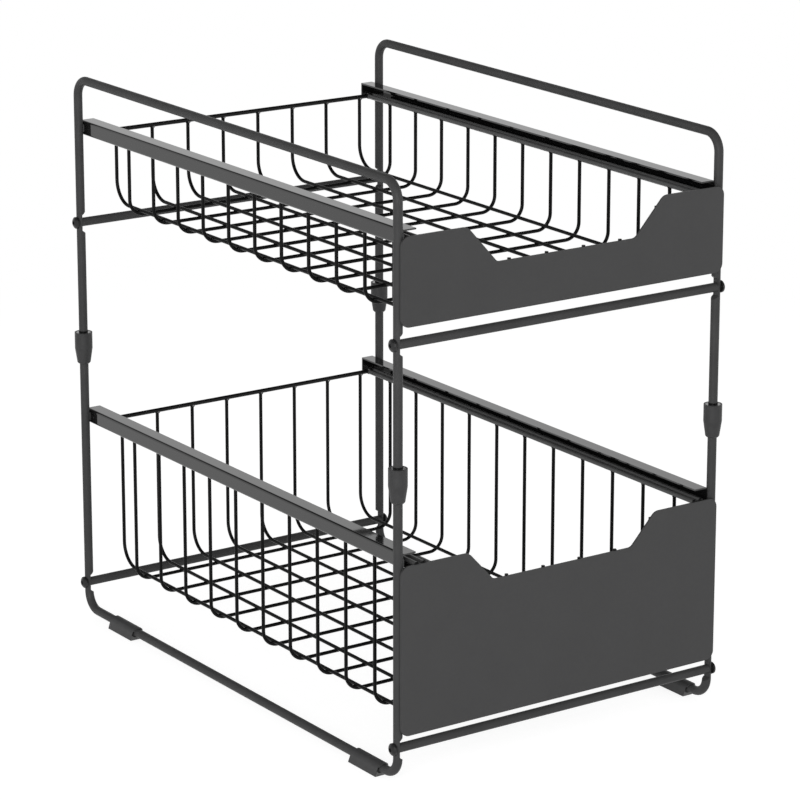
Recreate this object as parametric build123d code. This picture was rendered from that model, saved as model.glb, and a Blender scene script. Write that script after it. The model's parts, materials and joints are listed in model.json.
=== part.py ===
from build123d import *
import math
import os

# Two-tier pull-out basket organizer. Millimetres, +Z up, front towards -Y, +X to the right.
# The origin is on the floor, under the middle of the whole.

# Frame of four bent tubes
frame_width = 247.7
frame_depth = 385.6
frame_height = 380.0
tube_diameter = 6.0
tube_bend_radius = 12.0

# Crossbars between the legs, and the flats pressed into the legs for them
crossbar_diameter = 6.0
lower_crossbar_rise = 18.7
upper_crossbar_drop = 100.5
press_depth = 3.4
press_margin = 2.5
press_shoulder = 2.4

# Screws through the legs into the ends of the crossbars
screw_diameter = 4.0
screw_reach = 10.0
screw_clearance = 0.1
screw_hole_spare = 3.0
screw_head_diameter = 8.1
screw_head_height = 3.1
screw_head_edge = 1.3
screw_socket_width = 2.5
screw_socket_depth = 1.3

# Sleeves that join the lower and upper frames
sleeve_rise = 179.2
sleeve_length = 22.1
sleeve_clearance = 0.1
sleeve_edge_wall = 0.9
sleeve_edge_height = 0.8
sleeve_neck_wall = 1.6
sleeve_taper_height = 10.0
sleeve_cup_gap = 2.0
sleeve_cup_depth = 5.0
sleeve_rim_wall = 1.1
sleeve_web = 1.0
sleeve_socket_depth = 8.0

# Feet clipped round the bottom bars, with both ends leaning to the front
foot_length = 30.5
foot_lean = 4.8
foot_wall = 1.0
foot_clearance = 0.1
foot_hollow_drop = 1.9
foot_base = 1.4
foot_corner_radius = 0.6
foot_recess_depth = 8.0
front_foot_gap = 2.9
rear_foot_gap = 20.7

# Rails of bent sheet, open towards the baskets and closed at the rear
rail_width = 10.4
rail_height = 10.0
rail_sheet = 1.0
rail_bend_radius = 0.5
lower_rail_rise = 140.3
upper_rail_drop = 34.6

# Rim rods of the baskets, and the runner rods that lie in the rails
rim_diameter = 3.0
rim_rail_gap = 1.75
runner_diameter = 3.0
runner_inset = 1.75
runner_clearance = 0.5
runner_rear_gap = 5.3
runner_bend_radius = 2.8

# Wires of the baskets
wire_diameter = 2.4
long_wire_count = 8
long_wire_side_inset = 6.9
long_wire_bend_radius = 16.0
long_wire_tip = 0.5
long_wire_hidden_drop = 2.0
cross_wire_count = 11
cross_wire_bend_radius = 11.0
cross_wire_rear_inset = 28.8
upper_cross_wire_front_inset = 32.3
lower_cross_wire_front_inset = 20.9
upper_floor_gap = 5.6
lower_floor_gap = 4.4

# Front panels
panel_gap = 0.8
panel_sheet = 1.2
panel_overhang = 0.95
panel_corner_radius = 6.0
upper_panel_top_rise = 3.8
lower_panel_top_rise = 0.3
upper_panel_bottom_rise = 1.2
upper_notch_top_width = 152.0
upper_notch_bottom_width = 107.0
upper_notch_depth = 24.8
lower_notch_top_width = 147.6
lower_notch_bottom_width = 109.0
lower_notch_depth = 20.8
notch_top_radius = 7.0
notch_bottom_radius = 5.0

# How far a cut runs past the faces that it opens
overrun = 1.0

# Places that follow from the sizes above
tube_radius = tube_diameter / 2
rim_radius = rim_diameter / 2
wire_radius = wire_diameter / 2
runner_radius = runner_diameter / 2
crossbar_radius = crossbar_diameter / 2
leg_x = frame_width / 2
leg_y = frame_depth / 2
bottom_bar_z = tube_radius + foot_hollow_drop + foot_base
top_bar_z = bottom_bar_z + frame_height
lower_crossbar_z = bottom_bar_z + lower_crossbar_rise
upper_crossbar_z = top_bar_z - upper_crossbar_drop
crossbar_end_x = leg_x - tube_radius + press_depth
sleeve_bottom_z = bottom_bar_z + sleeve_rise
web_bottom_z = sleeve_bottom_z + sleeve_socket_depth
web_top_z = web_bottom_z + sleeve_web
rail_outer_x = leg_x - tube_radius
rail_inner_x = rail_outer_x - rail_width
rim_x = rail_inner_x - rim_rail_gap - rim_radius
runner_x = rail_inner_x + runner_inset
runner_rear_y = leg_y - tube_radius - runner_rear_gap - runner_radius
panel_back_y = -leg_y - tube_radius - panel_gap
wire_front_y = panel_back_y + wire_radius
panel_half_width = leg_x + panel_overhang


def rod(points, diameter, bend_radius):
    """A round rod along straight runs joined by bends of one radius."""
    path = FilletPolyline(*points, radius=bend_radius)
    start = Plane(origin=path @ 0, z_dir=path % 0)
    return sweep(start * Circle(diameter / 2), path=path)


def straight_rod(start, end, diameter):
    """A round rod between two points."""
    axis = Vector(*end) - Vector(*start)
    foot = Plane(origin=start, z_dir=axis)
    return extrude(foot * Circle(diameter / 2), amount=axis.length)


def mirrored(piece):
    """The same piece on the other side of the organizer."""
    return mirror(piece, about=Plane.YZ)


def press_cutter(crossbar_z, leg_side):
    """The die that presses a flat with sloped shoulders into the inner side of a right leg."""
    flat_half = crossbar_radius + press_margin
    top_half = flat_half + press_shoulder
    leg_inner = leg_x - tube_radius
    outline = Polyline(
        (leg_inner, crossbar_z - top_half),
        (leg_inner + press_depth, crossbar_z - flat_half),
        (leg_inner + press_depth, crossbar_z + flat_half),
        (leg_inner, crossbar_z + top_half),
        (leg_inner - overrun, crossbar_z + top_half),
        (leg_inner - overrun, crossbar_z - top_half),
        close=True,
    )
    plane = Plane(origin=(0, leg_side * leg_y, 0), x_dir=(1, 0, 0), z_dir=(0, -1, 0))
    return extrude(plane * make_face(outline), amount=tube_radius + overrun, both=True)


def screw_hole(crossbar_z, leg_side):
    """The hole for a screw, right through a right leg."""
    start = (leg_x - tube_radius - overrun, leg_side * leg_y, crossbar_z)
    end = (leg_x + tube_radius + overrun, leg_side * leg_y, crossbar_z)
    return straight_rod(start, end, screw_diameter + 2 * screw_clearance)


def frame(bar_z, leg_end_z, crossbar_z):
    """The right half of one tier's frame: a bar with two legs, bent from one tube."""
    body = rod(
        [(leg_x, -leg_y, leg_end_z), (leg_x, -leg_y, bar_z), (leg_x, leg_y, bar_z), (leg_x, leg_y, leg_end_z)],
        tube_diameter,
        tube_bend_radius,
    )
    for leg_side in (-1, 1):
        body -= press_cutter(crossbar_z, leg_side)
        body -= screw_hole(crossbar_z, leg_side)
    return body


def crossbar(leg_side, crossbar_z):
    """A bar between a left and a right leg, drilled at both ends for the screws."""
    y = leg_side * leg_y
    body = straight_rod((-crossbar_end_x, y, crossbar_z), (crossbar_end_x, y, crossbar_z), crossbar_diameter)
    hole_depth = screw_reach + screw_hole_spare
    for side in (-1, 1):
        mouth = (side * crossbar_end_x, y, crossbar_z)
        bottom = (side * (crossbar_end_x - hole_depth), y, crossbar_z)
        body -= straight_rod(mouth, bottom, screw_diameter + 2 * screw_clearance)
    return body


def screw(leg_side, crossbar_z):
    """A domed screw with a six-sided socket, standing on the outer side of a right leg."""
    seat_x = leg_x + tube_radius
    tip_x = crossbar_end_x - screw_reach
    head_radius = screw_head_diameter / 2
    sag = screw_head_height - screw_head_edge
    dome_radius = (head_radius**2 + sag**2) / (2 * sag)
    dome_centre_x = seat_x + screw_head_height - dome_radius
    half_turn = math.asin(head_radius / dome_radius) / 2
    middle = (dome_centre_x + dome_radius * math.cos(half_turn), dome_radius * math.sin(half_turn))
    outline = Polyline(
        (seat_x + screw_head_height, 0),
        (tip_x, 0),
        (tip_x, screw_diameter / 2),
        (seat_x, screw_diameter / 2),
        (seat_x, head_radius),
        (seat_x + screw_head_edge, head_radius),
    )
    dome = ThreePointArc((seat_x + screw_head_edge, head_radius), middle, (seat_x + screw_head_height, 0))
    body = revolve(make_face([outline, dome]), axis=Axis.X)
    top = Plane(origin=(seat_x + screw_head_height, 0, 0), x_dir=(0, 1, 0), z_dir=(-1, 0, 0))
    socket = RegularPolygon(radius=screw_socket_width / 2, side_count=6, major_radius=False)
    body -= extrude(top * socket, amount=screw_socket_depth)
    return Pos(0, leg_side * leg_y, crossbar_z) * body


def sleeve(leg_side):
    """The cup that stands on a lower right leg and takes the upper leg."""
    bore = tube_radius + sleeve_clearance
    edge = tube_radius + sleeve_edge_wall
    neck = tube_radius + sleeve_neck_wall
    cup = tube_radius + sleeve_cup_gap
    rim = cup + sleeve_rim_wall
    bottom = sleeve_bottom_z
    neck_z = bottom + sleeve_edge_height
    top = bottom + sleeve_length
    outline = Polyline(
        (bore, bottom),
        (edge, bottom),
        (neck, neck_z),
        (rim, neck_z + sleeve_taper_height),
        (rim, top),
        (cup, top),
        (cup, top - sleeve_cup_depth),
        (bore, top - sleeve_cup_depth),
        (bore, web_top_z),
        (0, web_top_z),
        (0, web_bottom_z),
        (bore, web_bottom_z),
        close=True,
    )
    body = revolve(Plane.XZ * make_face(outline), axis=Axis.Z)
    return Pos(leg_x, leg_side * leg_y, 0) * body


def foot(front_y):
    """A foot round the right bottom bar. front_y is the front edge of its sole."""
    bore = tube_radius + foot_clearance
    half = bore + foot_wall
    rear_y = front_y + foot_length
    top_z = bottom_bar_z + half
    section = Rectangle(2 * half, bottom_bar_z, align=(Align.CENTER, Align.MIN))
    section = fillet(section.vertices().group_by(Axis.Y)[0], foot_corner_radius)
    section += Pos(0, bottom_bar_z) * Circle(half)
    section -= Pos(0, bottom_bar_z) * Circle(bore)
    plane = Plane(origin=(leg_x, rear_y, 0), x_dir=(1, 0, 0), z_dir=(0, -1, 0))
    body = extrude(plane * section, amount=foot_length + foot_lean)
    side = Polyline(
        (front_y, 0),
        (rear_y, 0),
        (rear_y - foot_lean, top_z),
        (front_y - foot_lean, top_z),
        close=True,
    )
    side_plane = Plane(origin=(leg_x, 0, 0), x_dir=(0, 1, 0), z_dir=(1, 0, 0))
    body &= extrude(side_plane * make_face(side), amount=half + overrun, both=True)
    hollow_height = bottom_bar_z - foot_base
    hollow = Box(
        tube_diameter,
        foot_recess_depth + foot_lean + overrun,
        hollow_height,
        align=(Align.CENTER, Align.MIN, Align.MIN),
    )
    body -= Pos(leg_x, front_y - foot_lean - overrun, foot_base) * hollow
    body -= Pos(leg_x, rear_y - foot_recess_depth, foot_base) * hollow
    return body


def rail(rail_z):
    """The right rail of one tier: a channel against the inner sides of the legs, with a rear end plate."""
    outer = Rectangle(rail_width, rail_height, align=(Align.MAX, Align.CENTER))
    outer = fillet(outer.vertices().group_by(Axis.X)[-1], rail_bend_radius + rail_sheet)
    room_width = rail_width - rail_sheet + overrun
    room = Rectangle(room_width, rail_height - 2 * rail_sheet, align=(Align.MAX, Align.CENTER))
    room = fillet(room.vertices().group_by(Axis.X)[-1], rail_bend_radius)
    channel = outer - Pos(-rail_sheet, 0) * room
    rear_end = Plane(origin=(rail_outer_x, leg_y + tube_radius, rail_z), x_dir=(1, 0, 0), z_dir=(0, -1, 0))
    body = extrude(rear_end * channel, amount=frame_depth + tube_radius)
    return body + extrude(rear_end * outer, amount=rail_sheet)


def runner_height(rail_z):
    """The height of a basket's rods. The runner rods lie on the lower flanges of the rails."""
    return rail_z - rail_height / 2 + rail_sheet + runner_clearance + runner_radius


def rim(rod_z):
    """The right rim rod of a basket, between the panel and the rear run of the runner rod."""
    return straight_rod((rim_x, panel_back_y, rod_z), (rim_x, runner_rear_y - runner_radius, rod_z), rim_diameter)


def runner(rod_z):
    """The runner rod of a basket, bent round three sides and welded to the back of the panel."""
    return rod(
        [(-runner_x, panel_back_y, rod_z), (-runner_x, runner_rear_y, rod_z), (runner_x, runner_rear_y, rod_z),
         (runner_x, panel_back_y, rod_z)],
        runner_diameter,
        runner_bend_radius,
    )


def cross_wire(y, rod_z, floor_z):
    """A wire across a basket that hangs from the rim rods on both sides."""
    top_z = rod_z - rim_radius
    return rod(
        [(-rim_x, y, top_z), (-rim_x, y, floor_z), (rim_x, y, floor_z), (rim_x, y, top_z)],
        wire_diameter,
        cross_wire_bend_radius,
    )


def cross_wires(rod_z, floor_z, front_inset):
    """All wires across one basket, evenly spaced from the rear to the front."""
    first_y = runner_rear_y - cross_wire_rear_inset
    last_y = panel_back_y + front_inset
    pitch = (first_y - last_y) / (cross_wire_count - 1)
    wires = []
    for index in range(cross_wire_count):
        wires.append(cross_wire(first_y - index * pitch, rod_z, floor_z).solid())
    return Compound(wires)


def long_wire_floor(x, floor_z):
    """The height at which a lengthwise wire rests on the crosswise wires."""
    into_bend = abs(x) - (rim_x - cross_wire_bend_radius)
    if into_bend <= 0:
        return floor_z + wire_diameter
    inner = cross_wire_bend_radius - wire_diameter
    return floor_z + cross_wire_bend_radius - math.sqrt(inner**2 - into_bend**2)


def notch_height(x, top_z, top_width, bottom_width, depth):
    """The height of a panel's top edge at a distance from its middle."""
    top_half = top_width / 2
    bottom_half = bottom_width / 2
    if abs(x) >= top_half:
        return top_z
    if abs(x) <= bottom_half:
        return top_z - depth
    return top_z - depth * (top_half - abs(x)) / (top_half - bottom_half)


def long_wire_top(x, top_z, top_width, bottom_width, depth):
    """The height of a lengthwise wire's front end, which shows only in the notch."""
    edge_z = notch_height(x, top_z, top_width, bottom_width, depth)
    if abs(x) <= bottom_width / 2:
        return edge_z + long_wire_tip
    return edge_z - long_wire_hidden_drop


def long_wire(x, rod_z, floor_z, tip_z):
    """A wire along a basket, from the rear rod down, forward and up behind the panel."""
    low_z = long_wire_floor(x, floor_z)
    rear_top_z = rod_z - runner_radius
    return rod(
        [(x, runner_rear_y, rear_top_z), (x, runner_rear_y, low_z), (x, wire_front_y, low_z),
         (x, wire_front_y, tip_z)],
        wire_diameter,
        long_wire_bend_radius,
    )


def panel(top_z, bottom_z, top_width, bottom_width, depth):
    """A front panel with a wide notch in its top edge for the hand."""
    half = panel_half_width
    corners = [
        ((-half, bottom_z), panel_corner_radius),
        ((half, bottom_z), panel_corner_radius),
        ((half, top_z), panel_corner_radius),
        ((top_width / 2, top_z), notch_top_radius),
        ((bottom_width / 2, top_z - depth), notch_bottom_radius),
        ((-bottom_width / 2, top_z - depth), notch_bottom_radius),
        ((-top_width / 2, top_z), notch_top_radius),
        ((-half, top_z), panel_corner_radius),
    ]
    points = [point for point, radius in corners]
    radii = [radius for point, radius in corners]
    outline = FilletPolyline(*points, radius=radii, close=True)
    plane = Plane(origin=(0, panel_back_y, 0), x_dir=(1, 0, 0), z_dir=(0, -1, 0))
    return extrude(plane * make_face(outline), amount=panel_sheet)


def frame_nodes():
    """Everything that stands still: tubes, crossbars, screws, sleeves, rails and feet."""
    nodes = {}
    lower = frame(bottom_bar_z, web_bottom_z, lower_crossbar_z)
    upper = frame(top_bar_z, web_top_z, upper_crossbar_z)
    rails = {"lower": rail(bottom_bar_z + lower_rail_rise), "upper": rail(top_bar_z - upper_rail_drop)}
    bend_start_y = leg_y - tube_bend_radius
    feet = {
        "front": foot(-bend_start_y + front_foot_gap + foot_lean),
        "rear": foot(bend_start_y - rear_foot_gap - foot_length),
    }
    nodes["lower_frame_right"] = lower
    nodes["lower_frame_left"] = mirrored(lower)
    nodes["upper_frame_right"] = upper
    nodes["upper_frame_left"] = mirrored(upper)
    for tier, piece in rails.items():
        nodes[f"{tier}_rail_right"] = piece
        nodes[f"{tier}_rail_left"] = mirrored(piece)
    for end, piece in feet.items():
        nodes[f"{end}_foot_right"] = piece
        nodes[f"{end}_foot_left"] = mirrored(piece)
    screws = []
    for end, leg_side in (("front", -1), ("rear", 1)):
        cup = sleeve(leg_side)
        nodes[f"{end}_sleeve_right"] = cup
        nodes[f"{end}_sleeve_left"] = mirrored(cup)
        for tier, z in (("lower", lower_crossbar_z), ("upper", upper_crossbar_z)):
            nodes[f"{tier}_crossbar_{end}"] = crossbar(leg_side, z)
            piece = screw(leg_side, z)
            screws += [piece.solid(), mirrored(piece).solid()]
    nodes["crossbar_screws"] = Compound(screws)
    return nodes


def basket_nodes(tier, rail_z, floor_z, panel_top_z, panel_bottom_z, front_inset, notch):
    """One basket: panel, rim rods, runner rod and wires."""
    nodes = {}
    rod_z = runner_height(rail_z)
    side_rod = rim(rod_z)
    nodes[f"{tier}_front_panel"] = panel(panel_top_z, panel_bottom_z, *notch)
    nodes[f"{tier}_runner_rod"] = runner(rod_z)
    nodes[f"{tier}_rim_rod_right"] = side_rod
    nodes[f"{tier}_rim_rod_left"] = mirrored(side_rod)
    nodes[f"{tier}_cross_wires"] = cross_wires(rod_z, floor_z, front_inset)
    outer_x = rim_x - long_wire_side_inset
    pitch = 2 * outer_x / (long_wire_count - 1)
    for index in range(long_wire_count):
        x = index * pitch - outer_x
        tip_z = long_wire_top(x, panel_top_z, *notch)
        nodes[f"{tier}_long_wire_{index + 1}"] = long_wire(x, rod_z, floor_z, tip_z)
    return nodes


def all_nodes():
    """Every piece of the organizer by its name."""
    nodes = frame_nodes()
    lower_rail_z = bottom_bar_z + lower_rail_rise
    upper_rail_z = top_bar_z - upper_rail_drop
    lower_floor_z = lower_crossbar_z + crossbar_radius + lower_floor_gap + wire_radius
    upper_floor_z = upper_crossbar_z + crossbar_radius + upper_floor_gap + wire_radius
    nodes |= basket_nodes(
        "lower",
        lower_rail_z,
        lower_floor_z,
        runner_height(lower_rail_z) + lower_panel_top_rise,
        lower_floor_z,
        lower_cross_wire_front_inset,
        (lower_notch_top_width, lower_notch_bottom_width, lower_notch_depth),
    )
    nodes |= basket_nodes(
        "upper",
        upper_rail_z,
        upper_floor_z,
        runner_height(upper_rail_z) + upper_panel_top_rise,
        upper_floor_z + upper_panel_bottom_rise,
        upper_cross_wire_front_inset,
        (upper_notch_top_width, upper_notch_bottom_width, upper_notch_depth),
    )
    return nodes


os.makedirs("parts", exist_ok=True)
for name, piece in all_nodes().items():
    piece.label = name
    export_step(piece, f"parts/{name}.step")
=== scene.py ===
import json
import math
from types import SimpleNamespace

import bmesh
import bpy
from mathutils import Matrix, Vector, noise


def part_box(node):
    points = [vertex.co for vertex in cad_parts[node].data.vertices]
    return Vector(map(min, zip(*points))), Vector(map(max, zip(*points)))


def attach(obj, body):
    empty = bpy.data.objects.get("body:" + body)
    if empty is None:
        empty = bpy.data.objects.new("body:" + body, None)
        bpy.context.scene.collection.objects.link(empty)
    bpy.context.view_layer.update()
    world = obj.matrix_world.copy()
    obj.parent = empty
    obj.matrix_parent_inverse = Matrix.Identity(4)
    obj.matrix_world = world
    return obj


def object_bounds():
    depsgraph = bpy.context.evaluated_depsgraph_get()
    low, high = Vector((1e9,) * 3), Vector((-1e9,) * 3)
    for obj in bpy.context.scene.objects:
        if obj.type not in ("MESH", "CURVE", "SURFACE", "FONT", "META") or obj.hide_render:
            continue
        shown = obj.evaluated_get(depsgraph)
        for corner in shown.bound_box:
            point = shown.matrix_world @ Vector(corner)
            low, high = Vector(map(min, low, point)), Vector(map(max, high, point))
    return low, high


# Metres. The frame's own axes: front towards -Y, +Z up, the floor at z = 0.
mm = 0.001
rightward = Vector((1, 0, 0))
backward = Vector((0, 1, 0))
upward = Vector((0, 0, 1))

# The camera: its place, its turn in degrees, and its focal length and axis in pixels of the picture
picture_size = 800
camera_place = (-1317.5 * mm, -1934.2 * mm, 866.1 * mm)
camera_yaw = 35.774
camera_pitch = 15.132
camera_roll = 0.362
camera_focal = 3621.6
camera_axis_right = 480
camera_axis_down = 330
sensor_width = 36.0

# Sky. A rise is a direction's height, from 0 at the horizon to 1 straight up. The sky that lights the object
# is strongest at one rise and weaker below and above. The sky that is seen is white up to one rise, and dark
# from another.
sky_strength = 0.75
sky_ground_share = 0.55
sky_full_rise = 0.2
sky_top_rise = 0.9
sky_top_share = 0.5
seen_white_rise = 0.33
seen_top_rise = 0.6
seen_top_share = 0.03

# Two soft light panels: their size and distance, and each one's power in watts and direction in degrees
panel_size = 1.6
panel_distance = 3.0
key_power = 52.0
key_azimuth = -46
key_elevation = 12
fill_power = 12.0
fill_azimuth = 60
fill_elevation = 10

# Floor: how much of its light and shadow shows, how far it is lifted to white, and where it fades away
floor_half = 8.0
floor_dark = (0.93, 0.93, 0.93)
floor_light = (0.97, 0.97, 0.97)
floor_grain_scale = 900
floor_grain_detail = 3
floor_shadow_share = 0.35
floor_lift = 0.84
floor_fade_start = 0.45
floor_fade_end = 1.1

# Coats: a noise's usual limits, how many times wider the mottling is than the orange peel, and their detail
noise_low = 0.3
noise_high = 0.7
mottle_width = 9
mottle_detail = 4
peel_detail = 2
grain_detail = 3

# The runner rods' dark tone and a lighter tone that paints a highlight on their side runs, and how far
# inside their outer faces each tone starts
runner_dark = (0.004, 0.004, 0.0041)
runner_painted_highlight = (0.085, 0.085, 0.0855)
dark_depth = 4.2 * mm
painted_highlight_depth = 1.7 * mm

# Vertices round a bead and round the rings in the sleeves
ring_steps = 12
band_steps = 48

# Weld seams between rails and legs: how far they stand off the rail's face and beside the leg's middle, how
# blunt their ends are, and how many rings lie between the top and the foot of a ripple
seam_radius = 0.9 * mm
seam_length = 6.0 * mm
seam_stand = 0.35 * mm
seam_side = 1.55 * mm
seam_rings = 15
seam_taper_power = 4
seam_end_share = 0.05
seam_ripple_share = 0.16
seam_ripple_rings = 1.5
seam_roughness = 0.12 * mm
seam_noise_scale = 900

# Spot welds of the baskets, in shares of the radius of the wire or rod that is welded on. The profile gives
# each ring's height and radius, in shares of the weld's own.
collar_radius_share = 1.25
collar_height_share = 0.8
collar_profile = ((-0.4, 0.9), (-0.1, 1.0), (0.3, 0.94), (0.7, 0.82), (1.0, 0.7))
collar_uneven_share = 0.1
collar_noise_scale = 700
crossing_share = 0.62

# Round beads on the rear runs: their size and place in shares of the wire's and the rod's radius
bead_rings = 8
bead_radius_share = 0.85
bead_side_share = 0.4
bead_stand_share = 0.72
bead_uneven_share = 0.12
bead_noise_scale = 900

# Basket wires: their number, their radius as a share of the rods', and what tells two crosswise wires apart
long_wire_count = 8
wire_radius_share = 0.8
level_tolerance = 0.05 * mm
least_wire_gap = 5.0 * mm

# Flat rings in the mouths of the sleeves, clear of the leg, and seals that bite into the leg and stand proud
cap_recess = 0.1 * mm
cap_thick = 0.8 * mm
cap_clearance = 0.1 * mm
cap_width = 1.93 * mm
seal_bite = 0.04 * mm
seal_proud = 0.16 * mm
seal_height = 1.15 * mm

# Front ends of the feet: how far they lean, their clearance round the bar, and how wide a black sheet that
# paints the shade of a gap shows below it and beside it. Angles are in degrees round the bar, from straight
# down. The least sine keeps outlines finite.
foot_lean = 4.8 * mm
foot_clearance = 0.02 * mm
foot_painted_shade_low = 0.75 * mm
foot_painted_shade_side = 1.3 * mm
foot_side_angle = 70
foot_painted_shade_angles = (-108, 108)
foot_sole_angles = (-62, 62)
foot_top_angles = (110, 250)
foot_plate_steps = 24
foot_plate_inset = 0.12 * mm
foot_plate_proud = 0.2 * mm
foot_painted_shade_proud = 0.08 * mm
least_sine = 0.001


def turned_camera():
    """The camera's axes from its yaw, pitch and roll, as a matrix."""
    yaw = math.radians(camera_yaw)
    pitch = math.radians(camera_pitch)
    roll = math.radians(camera_roll)
    ahead = Vector((math.sin(yaw) * math.cos(pitch), math.cos(yaw) * math.cos(pitch), -math.sin(pitch)))
    level = Vector((math.cos(yaw), -math.sin(yaw), 0))
    above = level.cross(ahead)
    right = math.cos(roll) * level + math.sin(roll) * above
    up = right.cross(ahead)
    return Matrix((right, up, -ahead)).transposed().to_4x4()


def make_camera():
    """A camera at the photograph's viewing angle."""
    data = bpy.data.cameras.new("camera")
    data.sensor_width = sensor_width
    data.lens = camera_focal / picture_size * sensor_width
    data.shift_x = (picture_size / 2 - camera_axis_right) / picture_size
    data.shift_y = (camera_axis_down - picture_size / 2) / picture_size
    camera = bpy.data.objects.new("camera", data)
    camera.matrix_world = Matrix.Translation(camera_place) @ turned_camera()
    bpy.context.scene.collection.objects.link(camera)
    bpy.context.scene.camera = camera


def new_tree(name):
    """A new node material with its nodes removed, its tree, and its output node."""
    material = bpy.data.materials.new(name)
    material.use_nodes = True
    tree = material.node_tree
    tree.nodes.clear()
    return material, tree, tree.nodes.new("ShaderNodeOutputMaterial")


def noise_value(tree, place, scale, detail):
    """Noise of that scale per metre over the object's own coordinates."""
    node = tree.nodes.new("ShaderNodeTexNoise")
    node.inputs["Scale"].default_value = scale
    node.inputs["Detail"].default_value = detail
    tree.links.new(place.outputs["Object"], node.inputs["Vector"])
    return node.outputs["Fac"]


def spread(tree, value, low, high):
    """A noise value, mapped from its usual limits to low and high."""
    node = tree.nodes.new("ShaderNodeMapRange")
    node.inputs["From Min"].default_value = noise_low
    node.inputs["From Max"].default_value = noise_high
    node.inputs["To Min"].default_value = low
    node.inputs["To Max"].default_value = high
    tree.links.new(value, node.inputs["Value"])
    return node.outputs["Result"]


def two_tones(tree, value, dark, light):
    """A colour between two tones, by a value."""
    node = tree.nodes.new("ShaderNodeValToRGB")
    for element, position, tone in zip(node.color_ramp.elements, (noise_low, noise_high), (dark, light)):
        element.position = position
        element.color = (*tone, 1)
    tree.links.new(value, node.inputs["Fac"])
    return node.outputs["Color"]


def bump(tree, value, height, below=None):
    """A bump of that height in metres, on top of another."""
    node = tree.nodes.new("ShaderNodeBump")
    node.inputs["Distance"].default_value = height
    tree.links.new(value, node.inputs["Height"])
    if below is not None:
        tree.links.new(below, node.inputs["Normal"])
    return node.outputs["Normal"]


def new_coat(name):
    """A new material with its tree, its coordinates and its shader."""
    material, tree, output = new_tree(name)
    shader = tree.nodes.new("ShaderNodeBsdfPrincipled")
    tree.links.new(shader.outputs["BSDF"], output.inputs["Surface"])
    return material, tree, tree.nodes.new("ShaderNodeTexCoord"), shader


def add_surface(
    tree, place, shader, roughness, peel_scale, peel_height, grain_scale, grain_height, specular
):
    """A coat's surface: uneven gloss, wide orange peel and fine grain. Scales are per metre."""
    peel = noise_value(tree, place, peel_scale, peel_detail)
    grain = noise_value(tree, place, grain_scale, grain_detail)
    tree.links.new(spread(tree, peel, *roughness), shader.inputs["Roughness"])
    wide = bump(tree, peel, peel_height)
    tree.links.new(bump(tree, grain, grain_height, wide), shader.inputs["Normal"])
    shader.inputs["Specular IOR Level"].default_value = specular


def coat(name, tone, mottle_share, peel_scale, **surface):
    """A powder coat or moulded plastic with a mottled tone."""
    material, tree, place, shader = new_coat(name)
    mottle = noise_value(tree, place, peel_scale / mottle_width, mottle_detail)
    dark = [channel * (1 - mottle_share) for channel in tone]
    light = [channel * (1 + mottle_share) for channel in tone]
    tree.links.new(two_tones(tree, mottle, dark, light), shader.inputs["Base Color"])
    add_surface(tree, place, shader, peel_scale=peel_scale, **surface)
    return material


def frame_coat():
    """The satin coat of the bent tubes and crossbars."""
    return coat(
        "frame_coat",
        tone=(0.047, 0.047, 0.0475),
        mottle_share=0.10,
        roughness=(0.36, 0.46),
        peel_scale=420,
        peel_height=0.010 * mm,
        grain_scale=2600,
        grain_height=0.003 * mm,
        specular=0.08,
    )


def rail_coat():
    """The glossy coat of the sheet rails, smooth enough to mirror the light floor."""
    return coat(
        "rail_coat",
        tone=(0.006, 0.006, 0.0061),
        mottle_share=0.10,
        roughness=(0.02, 0.045),
        peel_scale=90,
        peel_height=0.002 * mm,
        grain_scale=1800,
        grain_height=0.0002 * mm,
        specular=0.62,
    )


def wire_coat():
    """The dark coat of the basket wires."""
    return coat(
        "wire_coat",
        tone=(0.004, 0.004, 0.0041),
        mottle_share=0.12,
        roughness=(0.30, 0.40),
        peel_scale=420,
        peel_height=0.001 * mm,
        grain_scale=1500,
        grain_height=0.0004 * mm,
        specular=0.08,
    )


def rod_painted_light_coat():
    """The rim rods' coat: a lighter, glossier copy of the wires' coat, whose lighter tone is painted light
    on the rims.
    """
    return coat(
        "rod_painted_light_coat",
        tone=(0.055, 0.055, 0.0555),
        mottle_share=0.12,
        roughness=(0.26, 0.36),
        peel_scale=420,
        peel_height=0.002 * mm,
        grain_scale=1500,
        grain_height=0.0006 * mm,
        specular=0.3,
    )


def runner_coat():
    """The runner rods' coat: dark on the rear run, with a painted highlight that makes the side runs in the
    rails lighter.
    """
    material, tree, place, shader = new_coat("runner_coat")
    outer_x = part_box("lower_runner_rod")[1].x
    parts = tree.nodes.new("ShaderNodeSeparateXYZ")
    tree.links.new(place.outputs["Object"], parts.inputs[0])
    distance = tree.nodes.new("ShaderNodeMath")
    distance.operation = "ABSOLUTE"
    tree.links.new(parts.outputs["X"], distance.inputs[0])
    # Painted highlight: the tone grows lighter towards the rods' outer faces, so the side runs in the rails
    # look lit
    painted_highlight_mask = tree.nodes.new("ShaderNodeMapRange")
    painted_highlight_mask.inputs["From Min"].default_value = outer_x - dark_depth
    painted_highlight_mask.inputs["From Max"].default_value = outer_x - painted_highlight_depth
    tree.links.new(distance.outputs[0], painted_highlight_mask.inputs["Value"])
    tone = two_tones(tree, painted_highlight_mask.outputs["Result"], runner_dark, runner_painted_highlight)
    tree.links.new(tone, shader.inputs["Base Color"])
    add_surface(
        tree,
        place,
        shader,
        roughness=(0.20, 0.30),
        peel_scale=420,
        peel_height=0.001 * mm,
        grain_scale=1500,
        grain_height=0.0004 * mm,
        specular=0.2,
    )
    return material


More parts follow.
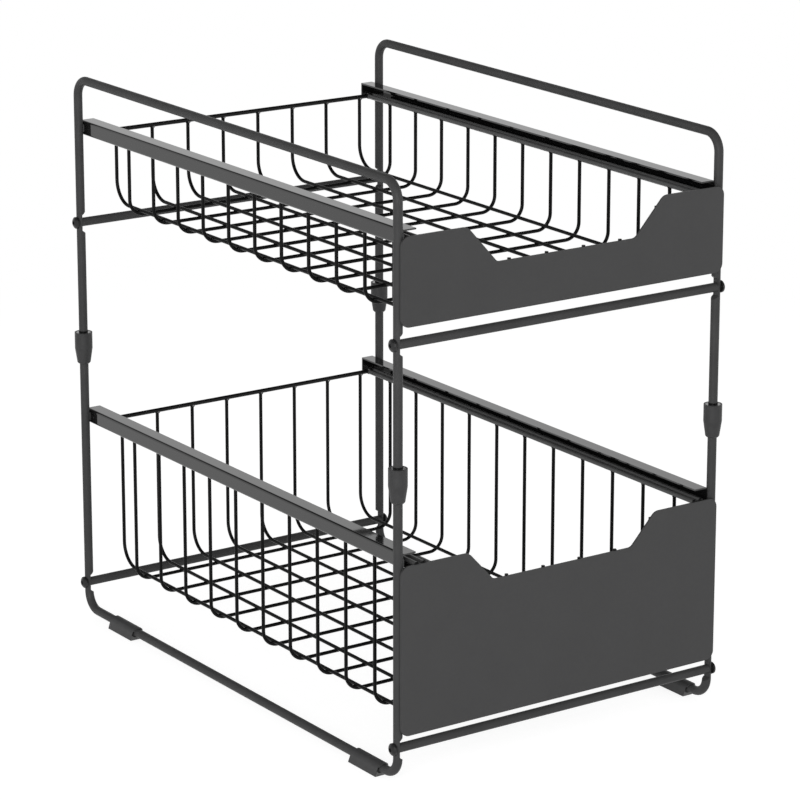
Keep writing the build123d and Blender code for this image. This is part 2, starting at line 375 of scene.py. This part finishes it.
def bead_painted_glint_coat():
    """The shiny coat over the round beads on the rear runs: real gloss, and a tone lighter than the wires'
    that paints a glint on each bead.
    """
    return coat(
        "bead_painted_glint_coat",
        tone=(0.050, 0.050, 0.0505),
        mottle_share=0.25,
        roughness=(0.12, 0.22),
        peel_scale=900,
        peel_height=0.010 * mm,
        grain_scale=3000,
        grain_height=0.003 * mm,
        specular=1.0,
    )


def panel_coat():
    """The matt coat of the front panels."""
    return coat(
        "panel_coat",
        tone=(0.0385, 0.0385, 0.039),
        mottle_share=0.03,
        roughness=(0.42, 0.52),
        peel_scale=380,
        peel_height=0.010 * mm,
        grain_scale=2400,
        grain_height=0.005 * mm,
        specular=0.3,
    )


def screw_coat():
    """The blackened finish of the screws."""
    return coat(
        "screw_coat",
        tone=(0.012, 0.012, 0.0122),
        mottle_share=0.20,
        roughness=(0.22, 0.36),
        peel_scale=900,
        peel_height=0.005 * mm,
        grain_scale=4200,
        grain_height=0.002 * mm,
        specular=0.3,
    )


def foot_front_painted_light():
    """The feet's plastic with painted light: a lighter tone on their front ends, which face down into shade.
    """
    return coat(
        "foot_front_painted_light",
        tone=(0.066, 0.066, 0.0665),
        mottle_share=0.08,
        roughness=(0.3, 0.4),
        peel_scale=1500,
        peel_height=0.004 * mm,
        grain_scale=5200,
        grain_height=0.0015 * mm,
        specular=0.3,
    )


def cap_plastic():
    """The glossy plastic in the mouths of the sleeves."""
    return coat(
        "cap_plastic",
        tone=(0.055, 0.055, 0.0555),
        mottle_share=0.08,
        roughness=(0.04, 0.08),
        peel_scale=900,
        peel_height=0.001 * mm,
        grain_scale=4200,
        grain_height=0.0003 * mm,
        specular=1.0,
    )


def black_plastic():
    """The matt moulded plastic of the sleeves and feet."""
    return coat(
        "black_plastic",
        tone=(0.041, 0.041, 0.0417),
        mottle_share=0.08,
        roughness=(0.36, 0.5),
        peel_scale=1500,
        peel_height=0.006 * mm,
        grain_scale=5200,
        grain_height=0.002 * mm,
        specular=0.15,
    )


def make_materials():
    """All materials by name: one for each of the record's slots, and some for single pieces."""
    return {
        "frame_coat": frame_coat(),
        "rail_coat": rail_coat(),
        "wire_coat": wire_coat(),
        "rod_painted_light_coat": rod_painted_light_coat(),
        "runner_coat": runner_coat(),
        "bead_painted_glint_coat": bead_painted_glint_coat(),
        "panel_coat": panel_coat(),
        "screw_coat": screw_coat(),
        "foot_front_painted_light": foot_front_painted_light(),
        "cap_plastic": cap_plastic(),
        "black_plastic": black_plastic(),
    }


def light_path_share(tree):
    """1 for camera, mirror and glass rays, and 0 for the light that falls on the object."""
    path = tree.nodes.new("ShaderNodeLightPath")
    seen = path.outputs["Is Camera Ray"]
    for kind in ("Is Glossy Ray", "Is Transmission Ray"):
        join = tree.nodes.new("ShaderNodeMath")
        join.operation = "MAXIMUM"
        tree.links.new(seen, join.inputs[0])
        tree.links.new(path.outputs[kind], join.inputs[1])
        seen = join.outputs[0]
    return seen


def blend_shaders(tree, share, first, second):
    """The second shader over the first, by a share that is a number or an output."""
    mix = tree.nodes.new("ShaderNodeMixShader")
    if isinstance(share, float):
        mix.inputs["Fac"].default_value = share
    else:
        tree.links.new(share, mix.inputs["Fac"])
    if first is not None:
        tree.links.new(first.outputs[0], mix.inputs[1])
    tree.links.new(second.outputs[0], mix.inputs[2])
    return mix


def sky_dome(tree, rise, strength, stops):
    """A background whose brightness follows the rise, through stops of rise and brightness."""
    ramp = tree.nodes.new("ShaderNodeValToRGB")
    for height, level in stops[1:-1]:
        ramp.color_ramp.elements.new(height)
    for element, (height, level) in zip(ramp.color_ramp.elements, stops):
        element.position = height
        element.color = (level, level, level, 1)
    tree.links.new(rise, ramp.inputs["Fac"])
    dome = tree.nodes.new("ShaderNodeBackground")
    dome.inputs["Strength"].default_value = strength
    tree.links.new(ramp.outputs["Color"], dome.inputs["Color"])
    return dome


def make_sky():
    """A plain pale sky: white where it is seen near the horizon, and weaker overhead."""
    world = bpy.data.worlds.new("sky")
    bpy.context.scene.world = world
    world.use_nodes = True
    tree = world.node_tree
    tree.nodes.clear()
    output = tree.nodes.new("ShaderNodeOutputWorld")
    place = tree.nodes.new("ShaderNodeTexCoord")
    parts = tree.nodes.new("ShaderNodeSeparateXYZ")
    tree.links.new(place.outputs["Generated"], parts.inputs[0])
    rise = parts.outputs["Z"]
    seen_stops = ((0, 1), (seen_white_rise, 1), (seen_top_rise, seen_top_share))
    lamp_stops = ((0, sky_ground_share), (sky_full_rise, 1), (sky_top_rise, sky_top_share))
    seen = sky_dome(tree, rise, 1, seen_stops)
    lamp = sky_dome(tree, rise, sky_strength, lamp_stops)
    whole = blend_shaders(tree, light_path_share(tree), lamp, seen)
    tree.links.new(whole.outputs[0], output.inputs["Surface"])


def soft_panel(name, power, azimuth, elevation):
    """A square light panel that faces the middle of the object. Azimuth 0 is the front, and 90 the right."""
    data = bpy.data.lights.new(name, "AREA")
    data.size = panel_size
    data.energy = power
    lamp = bpy.data.objects.new(name, data)
    turn = math.radians(azimuth)
    lift = math.radians(elevation)
    out = Vector((math.sin(turn) * math.cos(lift), -math.cos(turn) * math.cos(lift), math.sin(lift)))
    low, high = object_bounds()
    lamp.location = (low + high) / 2 + out * panel_distance
    lamp.rotation_euler = out.to_track_quat("Z", "Y").to_euler()
    bpy.context.scene.collection.objects.link(lamp)


def floor_material():
    """White floor that keeps a soft shadow near the object and fades into the backdrop."""
    material, tree, output = new_tree("floor")
    plain = tree.nodes.new("ShaderNodeBsdfDiffuse")
    place = tree.nodes.new("ShaderNodeTexCoord")
    paper = noise_value(tree, place, floor_grain_scale, floor_grain_detail)
    tree.links.new(two_tones(tree, paper, floor_dark, floor_light), plain.inputs["Color"])
    lift = tree.nodes.new("ShaderNodeEmission")
    lift.inputs["Strength"].default_value = floor_lift
    near = tree.nodes.new("ShaderNodeAddShader")
    tree.links.new(blend_shaders(tree, floor_shadow_share, None, plain).outputs[0], near.inputs[0])
    tree.links.new(lift.outputs[0], near.inputs[1])
    distance = tree.nodes.new("ShaderNodeVectorMath")
    distance.operation = "LENGTH"
    tree.links.new(place.outputs["Object"], distance.inputs[0])
    fade = tree.nodes.new("ShaderNodeMapRange")
    fade.interpolation_type = "SMOOTHSTEP"
    fade.inputs["From Min"].default_value = floor_fade_start
    fade.inputs["From Max"].default_value = floor_fade_end
    tree.links.new(distance.outputs["Value"], fade.inputs["Value"])
    white = tree.nodes.new("ShaderNodeEmission")
    seen = blend_shaders(tree, fade.outputs["Result"], near, white)
    whole = blend_shaders(tree, light_path_share(tree), plain, seen)
    tree.links.new(whole.outputs[0], output.inputs["Surface"])
    return material


def make_floor():
    """A wide plain floor under the feet."""
    outline = [(x * floor_half, y * floor_half, 0) for x, y in ((-1, -1), (1, -1), (1, 1), (-1, 1))]
    data = bpy.data.meshes.new("floor")
    data.from_pydata(outline, [], [(0, 1, 2, 3)])
    data.materials.append(floor_material())
    floor = bpy.data.objects.new("floor", data)
    bpy.context.scene.collection.objects.link(floor)


def add_ring(mesh, centre, across, up, radius, steps=ring_steps):
    """One ring of vertices."""
    ring = []
    for step in range(steps):
        turn = 2 * math.pi * step / steps
        place = centre + across * (radius * math.cos(turn)) + up * (radius * math.sin(turn))
        ring.append(mesh.verts.new(place))
    return ring


def bridge(mesh, first, second):
    """Faces between two rings."""
    count = len(first)
    for index in range(count):
        after = (index + 1) % count
        mesh.faces.new((first[index], first[after], second[after], second[index]))


def join_rings(mesh, rings):
    """Faces between each ring and the next, and a cap at both ends."""
    for first, second in zip(rings, rings[1:]):
        bridge(mesh, first, second)
    mesh.faces.new(list(reversed(rings[0])))
    mesh.faces.new(rings[-1])


def add_seam(mesh, middle, along, out):
    """A weld seam: a rippled, tapered bead that lies along a joint."""
    across = along.cross(out)
    rings = []
    for index in range(seam_rings):
        share = index / (seam_rings - 1) * 2 - 1
        ripple = (1 + math.cos(index * math.pi / seam_ripple_rings)) / 2
        taper = math.sqrt(max(1 - share**seam_taper_power, seam_end_share))
        swell = taper * (1 - seam_ripple_share * ripple)
        centre = middle + along * (share * seam_length / 2)
        centre += out * (seam_roughness * noise.noise(centre * seam_noise_scale))
        rings.append(add_ring(mesh, centre, across, out, seam_radius * swell))
    join_rings(mesh, rings)


def add_collar(mesh, foot, axis, wire_radius):
    """A spot weld: the metal squeezed out round a wire where it stands on another."""
    side = axis.orthogonal().normalized()
    up = axis.cross(side)
    rings = []
    for share, swell in collar_profile:
        place = foot + axis * (share * collar_height_share * wire_radius)
        radius = wire_radius * collar_radius_share * swell
        radius *= 1 + collar_uneven_share * noise.noise(place * collar_noise_scale)
        rings.append(add_ring(mesh, place, side, up, radius))
    join_rings(mesh, rings)


def add_bead(mesh, centre, size):
    """A round bead of weld metal, a little uneven."""
    rings = []
    for step in range(1, bead_rings):
        turn = math.pi * step / bead_rings
        place = centre + upward * (size * math.cos(turn))
        radius = size * math.sin(turn) * (1 + bead_uneven_share * noise.noise(place * bead_noise_scale))
        rings.append(add_ring(mesh, place, rightward, backward, radius))
    join_rings(mesh, rings)


def add_band(mesh, centre, inner, outer, bottom, top):
    """A closed upright ring between two radii and two heights above its centre."""
    rings = []
    for radius, rise in ((outer, bottom), (outer, top), (inner, top), (inner, bottom)):
        rings.append(add_ring(mesh, centre + upward * rise, rightward, backward, radius, band_steps))
    for first, second in zip(rings, rings[1:] + rings[:1]):
        bridge(mesh, first, second)


def finish_piece(mesh, name, body, material, smooth=True):
    """Makes the object from its mesh, with its material, on its body."""
    bmesh.ops.recalc_face_normals(mesh, faces=mesh.faces)
    for face in mesh.faces:
        face.smooth = smooth
    data = bpy.data.meshes.new(name)
    mesh.to_mesh(data)
    mesh.free()
    data.materials.append(material)
    piece = bpy.data.objects.new(name, data)
    bpy.context.scene.collection.objects.link(piece)
    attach(piece, body)


def middle_of(node):
    """The middle of a node's box."""
    low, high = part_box(node)
    return (low + high) / 2


def tube_radius():
    """The radius of the frame's bent tubes."""
    low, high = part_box("lower_frame_left")
    return (high.x - low.x) / 2


def rail_welds(materials):
    """Short seams in the grooves between each rail and the legs that it is fixed to."""
    for tier in ("lower", "upper"):
        for side, out in (("left", -1), ("right", 1)):
            mesh = bmesh.new()
            low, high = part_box(f"{tier}_rail_{side}")
            seam_x = (high.x if out > 0 else low.x) + out * seam_stand
            seam_z = (low.z + high.z) / 2
            for end in ("front", "rear"):
                leg_y = middle_of(f"{tier}_crossbar_{end}").y
                for way in (-1, 1):
                    middle = Vector((seam_x, leg_y + way * seam_side, seam_z))
                    add_seam(mesh, middle, upward, rightward * out)
            finish_piece(mesh, f"{tier}_rail_welds_{side}", "frame", materials["frame_coat"])


def sleeve_caps(materials):
    """A shiny flat ring in the mouth of each sleeve, and a thin black seal round the upper leg."""
    caps = bmesh.new()
    seals = bmesh.new()
    leg_radius = tube_radius()
    cap_inner = leg_radius + cap_clearance
    for end in ("front", "rear"):
        for side in ("left", "right"):
            low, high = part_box(f"{end}_sleeve_{side}")
            mouth = Vector(((low.x + high.x) / 2, (low.y + high.y) / 2, high.z - cap_recess))
            add_band(caps, mouth, cap_inner, cap_inner + cap_width, -cap_thick, 0)
            add_band(seals, mouth, leg_radius - seal_bite, leg_radius + seal_proud, -cap_thick, seal_height)
    finish_piece(caps, "sleeve_caps", "frame", materials["cap_plastic"], smooth=False)
    finish_piece(seals, "sleeve_seals", "frame", materials["wire_coat"], smooth=False)


def foot_reach(turn, half, rise):
    """How far a foot's outline lies from the bar's axis, at an angle from straight down."""
    if math.cos(turn) <= 0:
        return half
    return min(half / max(abs(math.sin(turn)), least_sine), rise / math.cos(turn))


def add_foot_plate(mesh, foot, angles, inner_low, inner_side, proud):
    """A thin plate on the leaning front end of a foot, between two angles round the bar."""
    low, high = foot
    half = (high.x - low.x) / 2
    rise = high.z - half
    start, stop = angles
    rings = []
    for step in range(foot_plate_steps + 1):
        turn = math.radians(start + (stop - start) * step / foot_plate_steps)
        side_share = min(abs(math.degrees(turn)) / foot_side_angle, 1)
        inner = inner_low + (inner_side - inner_low) * side_share
        reach = foot_reach(turn, half - foot_plate_inset, rise - foot_plate_inset)
        outer = max(reach, inner + foot_plate_inset)
        ring = []
        for radius, front in ((inner, proud), (outer, proud), (outer, 0), (inner, 0)):
            x = low.x + half + math.sin(turn) * radius
            z = rise - math.cos(turn) * radius
            y = low.y + foot_lean * (1 - z / high.z) - front
            ring.append(mesh.verts.new((x, y, z)))
        rings.append(ring)
    join_rings(mesh, rings)


def foot_fronts(materials):
    """The closed front ends of the feet in a lighter plastic that paints light on them, with a black sheet
    beside and below the bar that paints the shade of a gap.
    """
    plates = bmesh.new()
    painted_shade_sheets = bmesh.new()
    bar_edge = tube_radius() + foot_clearance
    low_edge = tube_radius() + foot_painted_shade_low
    side_edge = tube_radius() + foot_painted_shade_side
    for end in ("front", "rear"):
        for side in ("left", "right"):
            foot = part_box(f"{end}_foot_{side}")
            # Black sheet that paints the shade in the gap beside and below the bar
            add_foot_plate(painted_shade_sheets, foot, foot_painted_shade_angles, bar_edge, bar_edge, foot_painted_shade_proud)
            # Plates in a lighter plastic that paints light on the front ends, which lie in shade
            add_foot_plate(plates, foot, foot_sole_angles, low_edge, side_edge, foot_plate_proud)
            add_foot_plate(plates, foot, foot_top_angles, bar_edge, bar_edge, foot_plate_proud)
    finish_piece(plates, "foot_fronts", "frame", materials["foot_front_painted_light"], smooth=False)
    finish_piece(painted_shade_sheets, "foot_painted_shade", "frame", materials["wire_coat"], smooth=False)


def crosswise_places(nodes, tier):
    """The y of each crosswise wire of a basket, from the lowest points of the wires."""
    name = f"{tier}_cross_wires"
    floor_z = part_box(name)[0].z
    points = [vert.co for vert in nodes[name].data.vertices]
    groups = []
    for y in sorted(point.y for point in points if abs(point.z - floor_z) < level_tolerance):
        if not groups or y - groups[-1][-1] > least_wire_gap:
            groups.append([])
        groups[-1].append(y)
    return [(group[0] + group[-1]) / 2 for group in groups]


def basket_places(nodes, tier):
    """Where a basket's rods, wires and panel lie, by name."""
    rim_low, rim_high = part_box(f"{tier}_rim_rod_right")
    runner_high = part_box(f"{tier}_runner_rod")[1]
    rod_radius = (rim_high.z - rim_low.z) / 2
    return SimpleNamespace(
        rod_radius=rod_radius,
        wire_radius=rod_radius * wire_radius_share,
        rod_z=(rim_low.z + rim_high.z) / 2,
        rim_x=rim_high.x - rod_radius,
        rim_rear=rim_high.y,
        runner_x=runner_high.x - rod_radius,
        rear_run_y=runner_high.y - rod_radius,
        panel_rear=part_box(f"{tier}_front_panel")[1].y,
        floor_z=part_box(f"{tier}_cross_wires")[0].z,
        lengthwise=[middle_of(f"{tier}_long_wire_{number}").x for number in range(1, long_wire_count + 1)],
        crosswise=crosswise_places(nodes, tier),
    )


def wire_welds(mesh, places):
    """Spot welds where a basket's wires hang from its rods and cross on its floor."""
    rod_foot = places.rod_z - places.rod_radius
    crossing_z = places.floor_z + 2 * places.wire_radius
    for y in places.crosswise:
        for side in (-1, 1):
            add_collar(mesh, Vector((side * places.rim_x, y, rod_foot)), -upward, places.wire_radius)
        for x in places.lengthwise[1:-1]:
            add_collar(mesh, Vector((x, y, crossing_z)), upward, places.wire_radius * crossing_share)
    for x in places.lengthwise:
        add_collar(mesh, Vector((x, places.rear_run_y, rod_foot)), -upward, places.wire_radius)


def rod_welds(mesh, places):
    """Spot welds where a basket's rods meet each other and the panel."""
    for side in (-1, 1):
        rear_end = Vector((side * places.rim_x, places.rim_rear, places.rod_z))
        add_collar(mesh, rear_end, -backward, places.rod_radius)
        for x in (places.rim_x, places.runner_x):
            front_end = Vector((side * x, places.panel_rear, places.rod_z))
            add_collar(mesh, front_end, backward, places.rod_radius)


def rear_beads(mesh, places):
    """Round beads where a basket's lengthwise wires and rim rods meet the rear run of its runner rod."""
    size = places.wire_radius * bead_radius_share
    stand = places.rod_radius * bead_stand_share
    for x in places.lengthwise:
        bead_x = x + places.wire_radius * bead_side_share
        add_bead(mesh, Vector((bead_x, places.rear_run_y - stand, places.rod_z - stand)), size)
    for side in (-1, 1):
        add_bead(mesh, Vector((side * places.rim_x, places.rim_rear, places.rod_z + stand)), size)


def basket_welds(nodes, tier, materials):
    """All welds of one basket, which move with it."""
    places = basket_places(nodes, tier)
    welds = bmesh.new()
    wire_welds(welds, places)
    rod_welds(welds, places)
    finish_piece(welds, f"{tier}_basket_welds", f"{tier}_basket", materials["wire_coat"])
    beads = bmesh.new()
    rear_beads(beads, places)
    # The beads' lighter coat paints a glint on each, over their real gloss
    finish_piece(beads, f"{tier}_rear_rod_beads", f"{tier}_basket", materials["bead_painted_glint_coat"])


def dress_nodes(nodes, subparts, materials):
    """Gives each solid the material of its slot, and the baskets' rods their own coats with painted light.
    """
    for part in subparts:
        name = part["node"]
        slot = part["material_slot"]
        # Painted light: the rim rods take a lighter copy of the wire coat
        if "rim_rod" in name:
            slot = "rod_painted_light_coat"
        # The runner rods take the coat with a painted highlight on their side runs
        if "runner_rod" in name:
            slot = "runner_coat"
        data = nodes[name].data
        data.materials.clear()
        data.materials.append(materials[slot])


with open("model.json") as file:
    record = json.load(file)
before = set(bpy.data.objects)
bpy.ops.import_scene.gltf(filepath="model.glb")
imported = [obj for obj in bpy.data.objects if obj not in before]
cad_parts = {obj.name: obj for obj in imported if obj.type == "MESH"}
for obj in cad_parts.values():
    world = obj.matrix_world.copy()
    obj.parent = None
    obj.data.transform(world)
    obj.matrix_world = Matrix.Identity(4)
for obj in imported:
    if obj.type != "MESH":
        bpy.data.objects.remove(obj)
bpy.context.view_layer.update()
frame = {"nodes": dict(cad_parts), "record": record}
materials = make_materials()
make_camera()
make_sky()
soft_panel("key", key_power, key_azimuth, key_elevation)
soft_panel("fill", fill_power, fill_azimuth, fill_elevation)
make_floor()
dress_nodes(frame["nodes"], frame["record"]["subparts"], materials)
rail_welds(materials)
sleeve_caps(materials)
foot_fronts(materials)
for tier in ("lower", "upper"):
    basket_welds(frame["nodes"], tier, materials)
bpy.context.scene.view_settings.view_transform = "Standard"
